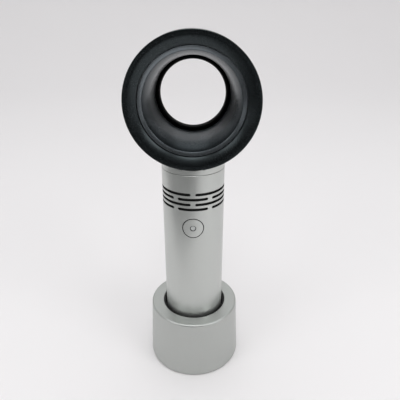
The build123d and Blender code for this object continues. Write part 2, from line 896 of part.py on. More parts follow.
def intake_filter():
    # foam sleeve on the mount's rim that keeps hair and dust out behind the slots
    outer = plug_radius - fit_gap
    top = spigot_bottom - housing_flange - fit_gap
    return ring(outer, outer - filter_wall, mount_z + mount_rim, top)


def vibration_pad():
    body = ring(motor_radius, bearing_tube_radius, mount_top, motor_z)
    for place in motor_screw_places:
        body -= place * disc(motor_screw_radius + screw_hole_gap, mount_top - over, motor_z + over)
    return body


def motor_screws():
    head = disc(2 * motor_screw_radius, mount_z - screw_head_height, mount_z)
    shank = disc(motor_screw_radius, mount_z, base_top - fit_gap)
    return [place * (head + shank) for place in motor_screw_places]


def motor_base():
    body = disc(motor_radius - motor_base_room, motor_z, base_top)
    body += disc(bearing_tube_radius, motor_z, bearing_tube_top)
    for low, high in bearing_spans:
        body -= disc(bearing_radius + shaft_fit / 2, low, high)
    body -= disc(shaft_radius + 2 * tip_clearance, motor_z - over, bearing_tube_top + over)
    body -= disc(bearing_radius + shaft_fit / 2, motor_z - over, bearing_spans[0][1])
    body -= disc(bearing_radius + shaft_fit / 2, bearing_spans[1][0], bearing_tube_top + over)
    for place in motor_screw_places:
        body -= place * disc(motor_screw_radius + fit_gap, motor_z - over, base_top - fit_gap)
    return body


def motor_bearings():
    return [ring(bearing_radius, shaft_radius + shaft_fit, low, high) for low, high in bearing_spans]


def motor_stator():
    core = bearing_tube_radius + stator_radius
    body = ring(core / 2, bearing_tube_radius + fit_gap / 2, stator_z, stator_z + stator_height)
    body += ring(stator_radius, stator_radius - tooth_width / 2, stator_z, stator_z + stator_height)
    for place in around(stator_teeth, 0):
        body += place * block(bearing_tube_radius + tooth_width / 2, stator_radius - tooth_width / 4,
                              -tooth_width / 2, tooth_width / 2, stator_z, stator_z + stator_height)
    gap = 2 * air_gap
    for place in around(stator_teeth, 0, 180 / stator_teeth):
        body -= place * block(stator_radius - tooth_width, stator_radius + over, -gap, gap,
                              stator_z - over, stator_z + stator_height + over)
    return body


def motor_windings():
    # one closed copper loop round each tooth
    inner = (bearing_tube_radius + stator_radius) / 2 + fit_gap
    outer = stator_radius - tooth_width / 2 - 2 * fit_gap
    reach = tooth_width / 2 + fit_gap
    low = stator_z - fit_gap
    high = stator_z + stator_height + fit_gap
    coil = block(inner, outer, -reach - winding, reach + winding, low - winding, high + winding)
    coil -= block(inner - over, outer + over, -reach, reach, low, high)
    return [place * coil for place in around(stator_teeth, 0)]


def motor_shaft():
    return disc(shaft_radius, bearing_spans[0][0] - motor_base_room, impeller_top - fit_gap)


def rotor_bell():
    body = disc(motor_radius, bell_bottom, bell_top)
    body -= disc(motor_radius - bell_wall, bell_bottom - over, bell_top - bell_wall)
    return body - disc(shaft_radius + press_fit, bell_bottom, bell_top + over)


def rotor_magnets():
    return ring(magnet_outer - press_fit, magnet_inner, stator_z, stator_z + stator_height)


def impeller():
    # cup hub with twisted blades, pressed on the shaft
    body = disc(impeller_hub_radius, impeller_z, impeller_top)
    nose = Pos(0, 0, impeller_z - housing_flange) * Cone(
        impeller_nose_radius, impeller_hub_radius, housing_flange, align=UPWARD)
    body += nose
    lean = tan(radians(blade_pitch_angle))
    reach = impeller_radius - impeller_hub_radius + over
    for place in around(impeller_blades, 0):
        shift = lean * impeller_height / 2
        low = Plane(origin=(impeller_hub_radius - over, -shift, impeller_z), z_dir=(0, 0, 1))
        high = Plane(origin=(impeller_hub_radius - over, shift, impeller_top), z_dir=(0, 0, 1))
        foot = Rectangle(reach, blade_thickness, align=(Align.MIN, Align.CENTER))
        body += place * loft([low * foot, high * foot])
    body = body & disc(impeller_radius, impeller_z - housing_flange, impeller_top)
    return body - disc(shaft_radius + press_fit, impeller_z - 2 * housing_flange, impeller_top - fit_gap)


def impeller_housing():
    body = ring(housing_radius, housing_inner, spigot_bottom, diffuser_top)
    flange_bottom = spigot_bottom - housing_flange
    return body + ring(plug_radius - fit_gap, housing_inner, flange_bottom, spigot_bottom)


def diffuser():
    # fixed vanes above the impeller with a tail cone that eases the air into the ring
    body = disc(impeller_hub_radius, diffuser_z, diffuser_top)
    body += Pos(0, 0, diffuser_top) * Cone(
        impeller_hub_radius, tail_cone_tip, tail_cone_height, align=UPWARD)
    rim = housing_inner - fit_gap
    for place in around(vane_count, 0):
        body += place * block(0, rim, -vane_thickness / 2, vane_thickness / 2, diffuser_z, diffuser_top)
    return body + ring(rim, rim - vane_thickness, diffuser_z, diffuser_top)


def motor_leads():
    # three leads from the top edge of the control board to the rim of the motor base
    y = -control_board_front + control_board_thickness / 2
    z_start = control_board_z + control_board_height
    z_end = motor_z + motor_base_thickness / 2
    rim = motor_radius - motor_base_room
    wires = []
    for i in (-1, 0, 1):
        x = i * motor_lead_pitch
        end = -sqrt(rim * rim - x * x) - fit_gap
        wires.append(lead(motor_lead_radius, (x, y, z_start), (x, y, z_end), (x, end, z_end)))
    return wires


# ================= head =================

def shell_side(offset):
    # outline of the rear shell's skin, moved inwards by offset, filled to the head's axis
    reach_r = shell_radius - shell_back_radius - offset
    reach_y = shell_back_y - shell_straight_y - offset
    curve = EllipticalCenterArc((shell_back_radius, shell_straight_y), reach_r, reach_y, arc_size=90)
    front = shell_front_y - offset
    edges = Line((0, front), (shell_radius - offset, front))
    edges += Line((shell_radius - offset, front), (shell_radius - offset, shell_straight_y))
    edges += curve
    edges += Line((shell_back_radius, shell_back_y - offset), (0, shell_back_y - offset))
    edges += Line((0, shell_back_y - offset), (0, front))
    return revolve(head_plane * make_face(edges.edges()), head_axis)


def head_disc(radius, y0, y1):
    return rod(radius, 0, head_z, y0, y1)


def rear_lean(lift):
    # the room above a plane that leans in from the neck's back wall, set lower by lift
    start = Plane(origin=(0, handle_radius, neck_back_z - lift), x_dir=(1, 0, 0), z_dir=(0, 1, 1))
    side = 4 * handle_radius
    return extrude(start * Rectangle(side, side), side)


def neck_blank(radius, front_gap, lift):
    # round neck from the seam up into the ring, clear of the bezel and of the leaning back
    top = head_z - shell_back_radius
    body = disc(radius, neck_bottom, top)
    front = -handle_radius - over
    reach = bezel_radius + front_gap
    lip_y = bezel_rim_y - front_gap
    envelope = turned_head(
        (0, front),
        (bezel_radius - neck_lip, front),
        (bezel_radius - neck_lip, lip_y),
        (reach, lip_y),
        (reach, shell_front_y + lift),
        (0, shell_front_y + lift),
    )
    return body - envelope - rear_lean(lift)


def rear_shell():
    # silver skin of the ring with its neck and the spigot that plugs into the handle
    cavity = shell_side(shell_wall)
    neck = neck_blank(handle_radius, neck_front_gap, 0)
    body = shell_side(0) - cavity
    body += neck - cavity
    body -= head_disc(eye_radius, shell_back_y - 2 * shell_wall, shell_back_y + over)
    spigot = disc(plug_radius, spigot_bottom, neck_bottom + over)
    body += spigot
    bore = neck_blank(duct_radius, neck_front_gap + neck_ledge, neck_ledge)
    bore += disc(duct_radius, spigot_bottom - over, neck_bottom + neck_ledge / 2)
    body -= bore
    tip_radius = handle_radius - seam_chamfer
    edge = ring(handle_radius + over, tip_radius, neck_bottom - over, neck_bottom + seam_chamfer)
    cone = Pos(0, 0, neck_bottom) * Cone(tip_radius, handle_radius, seam_chamfer, align=UPWARD)
    return body - (edge - cone)


def front_bezel():
    back_lift = bezel_thickness
    skirt_inner = skirt_radius - skirt_wall
    back_at_skirt = line_y + (skirt_inner - line_radius) * bezel_slope + back_lift
    step_y = shell_front_y - bezel_seam
    body = turned_head(
        (bezel_edge_radius, line_y, bezel_edge_round),
        (shoulder_radius, shoulder_y, shoulder_round),
        (crown_radius, bezel_rim_y, crown_round),
        (bezel_radius, bezel_rim_y, bezel_round),
        (bezel_radius, step_y),
        (skirt_radius, step_y),
        (skirt_radius, skirt_end_y),
        (skirt_inner, skirt_end_y),
        (skirt_inner, back_at_skirt),
        (bezel_edge_radius, line_y + back_lift),
    )
    groove = head_disc(skirt_radius + over, seal_y, seal_y + seal_width)
    floor = head_disc(skirt_radius - seal_depth, seal_y - over, seal_y + seal_width + over)
    return body - (groove - floor)


def bezel_seal():
    body = head_disc(shell_inner - fit_gap / 2, seal_y + fit_gap / 2, seal_y + seal_width - fit_gap / 2)
    return body - head_disc(skirt_radius - seal_depth, seal_y - over, seal_y + seal_width + over)


def funnel():
    flange_radius = bezel_edge_radius + funnel_flange_width
    return turned_head(
        (funnel_edge_radius, line_y, line_round),
        (funnel_lip_radius, funnel_lip_y, funnel_lip_round),
        (funnel_mid_radius, funnel_mid_y, funnel_bell_round),
        (funnel_back_radius, funnel_back_y, funnel_back_round),
        (funnel_back_radius + funnel_wall, funnel_back_y, funnel_back_round),
        (funnel_mid_radius + funnel_wall, funnel_mid_y),
        (funnel_lip_radius + funnel_wall, funnel_flange_y + funnel_flange),
        (flange_radius, funnel_flange_y + funnel_flange),
        (flange_radius, funnel_flange_y),
        (funnel_edge_radius, funnel_flange_y),
    )


def throat_ring():
    # inner ring behind the funnel; the air leaves forwards between its nose and the funnel
    seat_y = shell_back_y - shell_wall - fit_gap
    flange_y = seat_y - throat_flange
    outer = eye_radius + throat_flange_width
    nose_inner = throat_radius + nose_flare
    body = turned_head(
        (nose_inner, nose_y, nose_round),
        (throat_radius, throat_y, throat_curve),
        (throat_radius + fit_gap, shell_back_y - fit_gap, throat_back_round),
        (eye_radius - fit_gap, shell_back_y - fit_gap, nose_round),
        (eye_radius - fit_gap, seat_y),
        (outer, seat_y),
        (outer, flange_y),
        (nose_inner + nose_wall + nose_foot, flange_y, nose_foot),
        (nose_inner + nose_wall, nose_y, nose_round),
    )
    spacer_front = funnel_back_y + fit_gap
    for i in range(spacer_count):
        spacer = block(-spacer_width / 2, spacer_width / 2, spacer_front, flange_y + throat_flange / 2,
                       nose_inner + nose_wall / 2, funnel_back_radius + funnel_wall / 2)
        body += Pos(0, 0, head_z) * Rot(0, spacer_turn + i * 360 / spacer_count, 0) * spacer
    return body


subparts = {
    "dock_shell": dock_shell(),
    "socket_liner": socket_liner(),
    "dock_base_plate": dock_base_plate(),
    "dock_foot_ring": dock_foot_ring(),
    "dock_screws": dock_screws(),
    "dock_weight": dock_weight(),
    "dock_board": dock_board(),
    "usb_socket": usb_socket(),
    "contact_block": contact_block(),
    "contact_springs": contact_springs(),
    "contact_pin_centre": contact_pin(0),
    "contact_pin_outer": contact_pin(pin_circle),
    "handle_tube": handle_tube(),
    "end_cap": end_cap(),
    "end_cap_screws": end_cap_screws(),
    "charge_pad_centre": charge_pad_centre(),
    "charge_pad_ring": charge_pad_ring(),
    "charge_board": charge_board(),
    "charge_leads": charge_leads(),
    "battery_cradle": battery_cradle(),
    "battery_cell": battery_cell(),
    "battery_contact_bottom": battery_contact_bottom(),
    "battery_contact_top": battery_contact_top(),
    "board_rails": board_rails(),
    "control_board": control_board(),
    "control_chip": control_chip(),
    "tact_switch": tact_switch(),
    "indicator_led": indicator_led(),
    "power_button": power_button(),
    "button_lens": button_lens(),
    "switch_plunger": switch_plunger(),
    "motor_mount": motor_mount(),
    "intake_filter": intake_filter(),
    "motor_screws": motor_screws(),
    "vibration_pad": vibration_pad(),
    "motor_base": motor_base(),
    "motor_bearings": motor_bearings(),
    "motor_stator": motor_stator(),
    "motor_windings": motor_windings(),
    "motor_leads": motor_leads(),
    "motor_shaft": motor_shaft(),
    "rotor_bell": rotor_bell(),
    "rotor_magnets": rotor_magnets(),
    "impeller": impeller(),
    "impeller_housing": impeller_housing(),
    "diffuser": diffuser(),
    "rear_shell": rear_shell(),
    "front_bezel": front_bezel(),
    "bezel_seal": bezel_seal(),
    "funnel": funnel(),
    "throat_ring": throat_ring(),
}

os.makedirs("parts", exist_ok=True)
for name, shape in subparts.items():
    solids = shape if isinstance(shape, list) else [shape]
    solids = [solid for item in solids for solid in item.solids()]
    export_step(Compound(children=solids, label=name), "parts/" + name + ".step")
    print(name, len(solids))
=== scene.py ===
import bpy
import json
from math import cos, hypot, radians, sin
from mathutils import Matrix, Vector


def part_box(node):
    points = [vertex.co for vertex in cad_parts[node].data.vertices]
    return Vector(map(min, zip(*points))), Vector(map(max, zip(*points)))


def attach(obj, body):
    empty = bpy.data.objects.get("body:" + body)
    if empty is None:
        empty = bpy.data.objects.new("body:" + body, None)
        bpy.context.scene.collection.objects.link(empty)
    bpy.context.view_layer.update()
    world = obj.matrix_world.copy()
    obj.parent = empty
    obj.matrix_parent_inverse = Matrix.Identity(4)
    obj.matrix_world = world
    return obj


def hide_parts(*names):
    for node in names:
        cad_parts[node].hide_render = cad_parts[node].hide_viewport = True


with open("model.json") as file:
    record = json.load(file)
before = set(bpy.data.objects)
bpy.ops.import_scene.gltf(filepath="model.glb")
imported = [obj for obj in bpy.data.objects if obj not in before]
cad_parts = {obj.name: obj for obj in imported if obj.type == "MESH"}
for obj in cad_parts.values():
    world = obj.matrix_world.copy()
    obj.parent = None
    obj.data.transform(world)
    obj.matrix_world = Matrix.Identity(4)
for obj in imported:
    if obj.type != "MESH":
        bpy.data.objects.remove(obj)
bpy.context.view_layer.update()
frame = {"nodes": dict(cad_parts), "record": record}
record = frame["record"]
slotOfNode = {part["node"]: part["material_slot"] for part in record["subparts"]}
mm = 0.001
headHeight = sum(corner.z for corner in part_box("front_bezel")) / 2 / mm


class Signal:
    # a socket that adds Math nodes when it is used in an expression
    def __init__(self, finish, socket):
        self.finish = finish
        self.socket = socket

    def maths(self, operation, first, second=None):
        inputs = {0: first} if second is None else {0: first, 1: second}
        return self.finish.add("ShaderNodeMath", {"operation": operation}, inputs)

    def __add__(self, other):
        return self.maths("ADD", self, other)

    def __radd__(self, other):
        return self.maths("ADD", other, self)

    def __sub__(self, other):
        return self.maths("SUBTRACT", self, other)

    def __rsub__(self, other):
        return self.maths("SUBTRACT", other, self)

    def __mul__(self, other):
        return self.maths("MULTIPLY", self, other)

    def __rmul__(self, other):
        return self.maths("MULTIPLY", other, self)

    def root(self):
        return self.maths("SQRT", self)


class Finish:
    # one material with its Principled shader
    def __init__(self, name):
        self.material = bpy.data.materials.new(name)
        self.material.use_nodes = True
        self.tree = self.material.node_tree
        self.tree.nodes.clear()
        self.output = self.tree.nodes.new("ShaderNodeOutputMaterial")
        self.shader = self.tree.nodes.new("ShaderNodeBsdfPrincipled")
        self.tree.links.new(self.shader.outputs[0], self.output.inputs[0])

    def add(self, kind, settings, inputs, output=0):
        node = self.tree.nodes.new(kind)
        for name, value in settings.items():
            setattr(node, name, value)
        for name, value in inputs.items():
            self.feed(node.inputs[name], value)
        return Signal(self, node.outputs[output])

    def feed(self, socket, value):
        if isinstance(value, Signal):
            self.tree.links.new(value.socket, socket)
        else:
            socket.default_value = value

    def set(self, **sockets):
        for name, value in sockets.items():
            self.feed(self.shader.inputs[name.replace("_", " ")], value)

    def place(self, scale=(1, 1, 1), shift=(0, 0, 0)):
        # object coordinates in metres, moved and scaled
        here = self.add("ShaderNodeTexCoord", {}, {}, output="Object")
        return self.add("ShaderNodeMapping", {}, {"Vector": here, "Location": shift, "Scale": scale})

    def fromAxis(self, alongY=False, height=0.0):
        # distance in metres from an upright axis, or from the head's axis along Y at that height
        split = self.add("ShaderNodeSeparateXYZ", {}, {0: self.place(shift=(0, 0, -height))}).socket.node
        across = Signal(self, split.outputs["X"])
        other = Signal(self, split.outputs["Z" if alongY else "Y"])
        return (across * across + other * other).root()

    def noise(self, where, size, detail, rough):
        return self.add("ShaderNodeTexNoise", {}, {
            "Vector": where, "Scale": size, "Detail": detail, "Roughness": rough})

    def blend(self, factor, first, second):
        return self.add("ShaderNodeMix", {"data_type": "RGBA"}, {
            0: factor, 6: first, 7: second}, output=2)

    def spread(self, value, low, high):
        # 0 below low, 1 above high
        return self.add("ShaderNodeMapRange", {}, {"Value": value, "From Min": low, "From Max": high})

    def relief(self, height, strength, distance):
        return self.add("ShaderNodeBump", {}, {
            "Height": height, "Strength": strength, "Distance": distance})


def grey(value, green=0.0):
    # a near grey in linear light
    return (value, value * (1 + green), value, 1)


def tinted(colour, share):
    # the colour made lighter or darker by a share of itself
    return tuple(value * share for value in colour[:3]) + (1,)


# the last four keys set the painted shade inside openings: how far below the surface it starts and ends, its
# near-black colour and its roughness
silver = {"flake": 0.05, "flakeSize": 5200, "flakeLow": 0.3, "flakeHigh": 0.7, "peelSize": 900,
          "hazeSize": 60, "flakeSheen": 0.06, "hazeSheen": 0.08, "bump": 0.12, "flakeBump": 0.5,
          "grain": 0.04 * mm, "green": 0.035, "openingShadeFrom": 0.22 * mm, "openingShadeTo": 0.12 * mm,
          "inside": 0.003, "openingShadeRough": 0.6}


def satinSilver(name, base, metal, rough, openingShadeRadius=None):
    # metallic paint: fine flake, faint orange peel, a little handling haze; with a radius given, painted
    # shade: the walls inside its openings (slots, button groove) are painted black
    finish = Finish(name)
    here = finish.place()
    flake = finish.noise(here, silver["flakeSize"], detail=2, rough=0.6)
    peel = finish.noise(here, silver["peelSize"], detail=3, rough=0.55)
    haze = finish.noise(here, silver["hazeSize"], detail=4, rough=0.6)
    tone = finish.spread(flake, silver["flakeLow"], silver["flakeHigh"])
    colour = finish.blend(tone, grey(base * (1 - silver["flake"]), green=silver["green"]),
                          grey(base * (1 + silver["flake"]), green=silver["green"]))
    sheen = rough + silver["flakeSheen"] * (flake - 0.5) + silver["hazeSheen"] * (haze - 0.5)
    amount = metal
    # painted shade: below the outer surface the paint turns near-black, non-metallic and rough, standing in
    # for the shade inside slots and grooves
    if openingShadeRadius:
        unshaded = finish.spread(finish.fromAxis(), openingShadeRadius - silver["openingShadeFrom"],
                             openingShadeRadius - silver["openingShadeTo"])
        colour = finish.blend(unshaded, grey(silver["inside"]), colour)
        amount = unshaded * metal
        sheen = silver["openingShadeRough"] + unshaded * (sheen - silver["openingShadeRough"])
    finish.set(Base_Color=colour, Metallic=amount, Roughness=sheen,
               Normal=finish.relief(flake * silver["flakeBump"] + peel, silver["bump"], silver["grain"]))
    return finish.material


plastic = {"cloudSize": 45, "cloudSheen": 0.10, "grainSheen": 0.06}


def mouldedPlastic(name, colour, rough, grainScale=1600, grainDepth=0.03 * mm, strength=0.2,
                   mottling=0.12, specular=0.5, tint=(1, 1, 1, 1)):
    # moulded plastic: spark grain, slight sheen changes, faint dust
    finish = Finish(name)
    here = finish.place()
    grain = finish.noise(here, grainScale, detail=3, rough=0.6)
    cloud = finish.noise(here, plastic["cloudSize"], detail=4, rough=0.6)
    colours = finish.blend(cloud, tinted(colour, 1 - mottling), tinted(colour, 1 + mottling))
    sheen = rough + plastic["cloudSheen"] * (cloud - 0.5) + plastic["grainSheen"] * (grain - 0.5)
    finish.set(Base_Color=colours, Specular_IOR_Level=specular, Specular_Tint=tint, Roughness=sheen,
               Normal=finish.relief(grain, strength, grainDepth))
    return finish.material


# funnel paint: the second colour is a painted highlight for the band at the front edge
smoked = {"deep": (0.036, 0.046, 0.052, 1), "lip": (0.15, 0.169, 0.182, 1), "metal": 0.9, "rough": 0.28,
          "lipSmooth": 0.02, "lipRadius": 25.6 * mm, "lipBlend": 0.3 * mm, "grainSize": 2200,
          "cloudSize": 45, "cloudSheen": 0.06, "grainSheen": 0.05, "bump": 0.2, "grain": 0.01 * mm}


def smokedMetal(name):
    # dark metallic paint with a painted highlight: the band round the front edge is painted lighter, and made
    # a little smoother
    finish = Finish(name)
    here = finish.place()
    grain = finish.noise(here, smoked["grainSize"], detail=3, rough=0.6)
    cloud = finish.noise(here, smoked["cloudSize"], detail=4, rough=0.6)
    # painted highlight: the band round the front edge gets the lighter colour, standing in for light caught
    # there
    lipHighlightMask = finish.spread(finish.fromAxis(True, headHeight * mm), smoked["lipRadius"] - smoked["lipBlend"],
                          smoked["lipRadius"] + smoked["lipBlend"])
    sheen = smoked["rough"] + smoked["cloudSheen"] * (cloud - 0.5) + smoked["grainSheen"] * (grain - 0.5)
    finish.set(Base_Color=finish.blend(lipHighlightMask, smoked["deep"], smoked["lip"]), Metallic=smoked["metal"],
               Roughness=sheen - lipHighlightMask * smoked["lipSmooth"],
               Normal=finish.relief(grain, smoked["bump"], smoked["grain"]))
    return finish.material


drawn = {"lineSize": 900, "cloudSize": 90, "shade": 0.85, "lineSheen": 0.14, "cloudSheen": 0.08,
         "bump": 0.15, "grain": 0.02 * mm}


def plainMetal(name, colour, rough, brush=(1, 1, 1)):
    # bare or plated metal with drawn scratches
    finish = Finish(name)
    here = finish.place(scale=brush)
    lines = finish.noise(here, drawn["lineSize"], detail=4, rough=0.7)
    cloud = finish.noise(finish.place(), drawn["cloudSize"], detail=3, rough=0.6)
    finish.set(Base_Color=finish.blend(cloud, tinted(colour, drawn["shade"]), colour), Metallic=1.0,
               Roughness=rough + drawn["lineSheen"] * (lines - 0.5) + drawn["cloudSheen"] * (cloud - 0.5),
               Normal=finish.relief(lines, drawn["bump"], drawn["grain"]))
    return finish.material


rubber = {"grainSize": 1400, "cloudSize": 70, "dust": 1.5, "grainSheen": 0.1, "bump": 0.35,
          "grain": 0.04 * mm}


def softRubber(name, colour, rough):
    # rubber with a fine open grain
    finish = Finish(name)
    here = finish.place()
    grain = finish.noise(here, rubber["grainSize"], detail=4, rough=0.7)
    cloud = finish.noise(here, rubber["cloudSize"], detail=4, rough=0.6)
    finish.set(Base_Color=finish.blend(cloud, colour, tinted(colour, rubber["dust"])),
               Roughness=rough + rubber["grainSheen"] * (grain - 0.5),
               Normal=finish.relief(grain, rubber["bump"], rubber["grain"]))
    return finish.material


board = {"trackSize": 260.0, "gap": 0.06, "gapSmooth": 0.3, "cloudSize": 120,
         "mask": (0.012, 0.10, 0.045, 1), "track": (0.03, 0.20, 0.09, 1), "rough": 0.32,
         "cloudSheen": 0.1, "bump": 0.3, "relief": 0.04 * mm}


def circuitBoard(name):
    # solder mask over copper tracks
    finish = Finish(name)
    here = finish.place()
    tracks = finish.add("ShaderNodeTexBrick", {"offset": 0.5}, {
        "Vector": here, "Scale": board["trackSize"], "Mortar Size": board["gap"],
        "Mortar Smooth": board["gapSmooth"]}, output="Fac")
    cloud = finish.noise(here, board["cloudSize"], detail=3, rough=0.6)
    finish.set(Base_Color=finish.blend(tracks, board["mask"], board["track"]),
               Roughness=board["rough"] + board["cloudSheen"] * (cloud - 0.5),
               Normal=finish.relief(tracks, board["bump"], board["relief"]))
    return finish.material


stack = {"sheetSize": 900.0, "waver": 0.4, "gap": (0.12, 0.12, 0.12, 1), "edge": (0.3, 0.3, 0.3, 1),
         "metal": 0.9, "rough": 0.45, "sheen": 0.1, "bump": 0.5, "relief": 0.05 * mm}


def laminations(name):
    # stacked sheets of steel
    finish = Finish(name)
    here = finish.place()
    sheets = finish.add("ShaderNodeTexWave", {"wave_type": "BANDS", "bands_direction": "Z"}, {
        "Vector": here, "Scale": stack["sheetSize"], "Distortion": stack["waver"]})
    finish.set(Base_Color=finish.blend(sheets, stack["gap"], stack["edge"]), Metallic=stack["metal"],
               Roughness=stack["rough"] + stack["sheen"] * (sheets - 0.5),
               Normal=finish.relief(sheets, stack["bump"], stack["relief"]))
    return finish.material


wire = {"turnSize": 1500.0, "gap": (0.25, 0.07, 0.02, 1), "copper": (0.72, 0.3, 0.12, 1),
        "metal": 0.9, "rough": 0.3, "sheen": 0.15, "bump": 0.6, "relief": 0.08 * mm}


def woundCopper(name):
    # enamelled wire, turn beside turn
    finish = Finish(name)
    here = finish.place()
    turns = finish.add("ShaderNodeTexWave", {"wave_type": "BANDS", "bands_direction": "DIAGONAL"}, {
        "Vector": here, "Scale": wire["turnSize"]})
    finish.set(Base_Color=finish.blend(turns, wire["gap"], wire["copper"]), Metallic=wire["metal"],
               Roughness=wire["rough"] + wire["sheen"] * (turns - 0.5),
               Normal=finish.relief(turns, wire["bump"], wire["relief"]))
    return finish.material


finishes = {
    "dock_silver": satinSilver("dockSilver", base=0.47, metal=0.8, rough=0.40),
    # handle and button: painted shade, the walls inside the slots and the button's groove painted black
    "handle_silver": satinSilver("handleSilver", base=0.545, metal=0.88, rough=0.34, openingShadeRadius=18.0 * mm),
    "shell_silver": satinSilver("shellSilver", base=0.545, metal=0.88, rough=0.34),
    "button_silver": satinSilver("buttonSilver", base=0.555, metal=0.88, rough=0.32, openingShadeRadius=18.0 * mm),
    "bezel_black": mouldedPlastic("bezelBlack", (0.0019, 0.0023, 0.0026, 1), rough=0.28, grainScale=2400,
                                  grainDepth=0.01 * mm, strength=0.15, mottling=0.05, specular=0.52,
                                  tint=(0.80, 0.95, 1.0, 1)),
    "funnel_grey": smokedMetal("funnelGrey"),
    "throat_black": mouldedPlastic("throatBlack", (0.002, 0.002, 0.002, 1), rough=0.6, specular=0.15),
    "liner_black": mouldedPlastic("linerBlack", (0.004, 0.004, 0.004, 1), rough=0.5, specular=0.3),
    "plate_black": mouldedPlastic("plateBlack", (0.02, 0.02, 0.02, 1), rough=0.55),
    "cap_black": mouldedPlastic("capBlack", (0.02, 0.02, 0.02, 1), rough=0.5),
    "foot_rubber": softRubber("footRubber", (0.02, 0.02, 0.02, 1), rough=0.85),
    "seal_rubber": softRubber("sealRubber", (0.015, 0.015, 0.015, 1), rough=0.7),
    "steel": plainMetal("plainSteel", (0.55, 0.55, 0.56, 1), rough=0.35),
    "screw_steel": plainMetal("screwSteel", (0.35, 0.35, 0.36, 1), rough=0.4),
    "contact_gold": plainMetal("contactGold", (0.83, 0.6, 0.25, 1), rough=0.25),
    "nickel": plainMetal("nickelStrip", (0.6, 0.58, 0.53, 1), rough=0.3),
    "board_green": circuitBoard("boardGreen"),
    "chip_black": mouldedPlastic("chipBlack", (0.02, 0.02, 0.022, 1), rough=0.6),
    "usb_steel": plainMetal("usbSteel", (0.6, 0.6, 0.6, 1), rough=0.28, brush=(1, 8, 1)),
    "cell_wrap": mouldedPlastic("cellWrap", (0.02, 0.09, 0.25, 1), rough=0.3),
    "frame_white": mouldedPlastic("frameWhite", (0.55, 0.55, 0.53, 1), rough=0.5),
    "lens_frost": mouldedPlastic("lensFrost", (0.4, 0.42, 0.41, 1), rough=0.4),
    "led_white": mouldedPlastic("ledWhite", (0.85, 0.75, 0.35, 1), rough=0.4),
    "motor_dark": plainMetal("motorDark", (0.08, 0.08, 0.085, 1), rough=0.4),
    "stator_steel": laminations("statorSteel"),
    "copper_wire": woundCopper("copperWire"),
    "magnet": plainMetal("magnetNickel", (0.25, 0.25, 0.26, 1), rough=0.4),
    "impeller_grey": mouldedPlastic("impellerGrey", (0.3, 0.3, 0.31, 1), rough=0.45),
    "duct_black": mouldedPlastic("ductBlack", (0.02, 0.02, 0.02, 1), rough=0.5),
    "lead_red": mouldedPlastic("leadRed", (0.4, 0.015, 0.015, 1), rough=0.45),
}

for node, piece in frame["nodes"].items():
    piece.data.materials.clear()
    piece.data.materials.append(finishes[slotOfNode[node]])
print("finishes on the CAD nodes:", len(frame["nodes"]))

turning = {"steps": 192, "mergeGap": 0.002 * mm, "onRing": 0.01 * mm, "smoothAngle": 32}


def makeActive(piece):
    # the only selected object, so that operators act on it alone
    bpy.ops.object.select_all(action="DESELECT")
    piece.select_set(True)
    bpy.context.view_layer.objects.active = piece


def turnPiece(name, outline, alongY=False, height=0.0, steps=turning["steps"], closed=True):
    # a circle drawn out ring by ring through (radius, place) pairs in mm, then closed on itself
    bpy.ops.object.select_all(action="DESELECT")
    radius, place = outline[0]
    start = (0, place * mm, height * mm) if alongY else (0, 0, place * mm)
    bpy.ops.mesh.primitive_circle_add(vertices=steps, radius=radius * mm, location=start,
                                      rotation=(radians(90) if alongY else 0, 0, 0))
    piece = bpy.context.object
    piece.name = name
    bpy.ops.object.transform_apply(location=True, rotation=True, scale=True)
    bpy.ops.object.mode_set(mode="EDIT")
    bpy.ops.mesh.select_all(action="SELECT")
    for nextRadius, nextPlace in outline[1:] + (outline[:1] if closed else []):
        rise, share = (nextPlace - place) * mm, nextRadius / radius
        move = (0, rise, 0) if alongY else (0, 0, rise)
        size = (share, 1, share) if alongY else (share, share, 1)
        centre = (0, nextPlace * mm, height * mm) if alongY else (0, 0, nextPlace * mm)
        bpy.ops.mesh.extrude_region_move(TRANSFORM_OT_translate={"value": move})
        bpy.ops.transform.resize(value=size, center_override=centre)
        radius, place = nextRadius, nextPlace
    bpy.ops.mesh.select_all(action="SELECT")
    bpy.ops.mesh.remove_doubles(threshold=turning["mergeGap"])
    bpy.ops.mesh.normals_make_consistent(inside=False)
    bpy.ops.object.mode_set(mode="OBJECT")
    return piece


def roundRings(piece, rings, alongY=False, height=0.0):
    # bevels the edge loops at (radius, place), each as (radius, place, width, segments)
    for radius, place, width, segments in rings:
        makeActive(piece)
        bpy.ops.object.mode_set(mode="EDIT")
        bpy.ops.mesh.select_mode(type="EDGE")
        bpy.ops.mesh.select_all(action="DESELECT")
        bpy.ops.object.mode_set(mode="OBJECT")
        onRing = []
        for point in piece.data.vertices:
            x, y, z = point.co.x, point.co.y, point.co.z
            away = hypot(x, z - height * mm) if alongY else hypot(x, y)
            along = y if alongY else z
            onRing.append(abs(away - radius * mm) < turning["onRing"]
                          and abs(along - place * mm) < turning["onRing"])
        for edge in piece.data.edges:
            edge.select = all(onRing[i] for i in edge.vertices)
        bpy.ops.object.mode_set(mode="EDIT")
        bpy.ops.mesh.bevel(offset_type="OFFSET", offset=width * mm, segments=segments, profile=0.5,
                           affect="EDGES")
        bpy.ops.object.mode_set(mode="OBJECT")


def finishPiece(piece, node, body):
    # smooth shading, its finish, its body and the CAD node it stands for
    makeActive(piece)
    bpy.ops.object.shade_smooth_by_angle(angle=radians(turning["smoothAngle"]))
    piece.data.materials.clear()
    piece.data.materials.append(finishes[slotOfNode[node]])
    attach(piece, body)
    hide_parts(node)


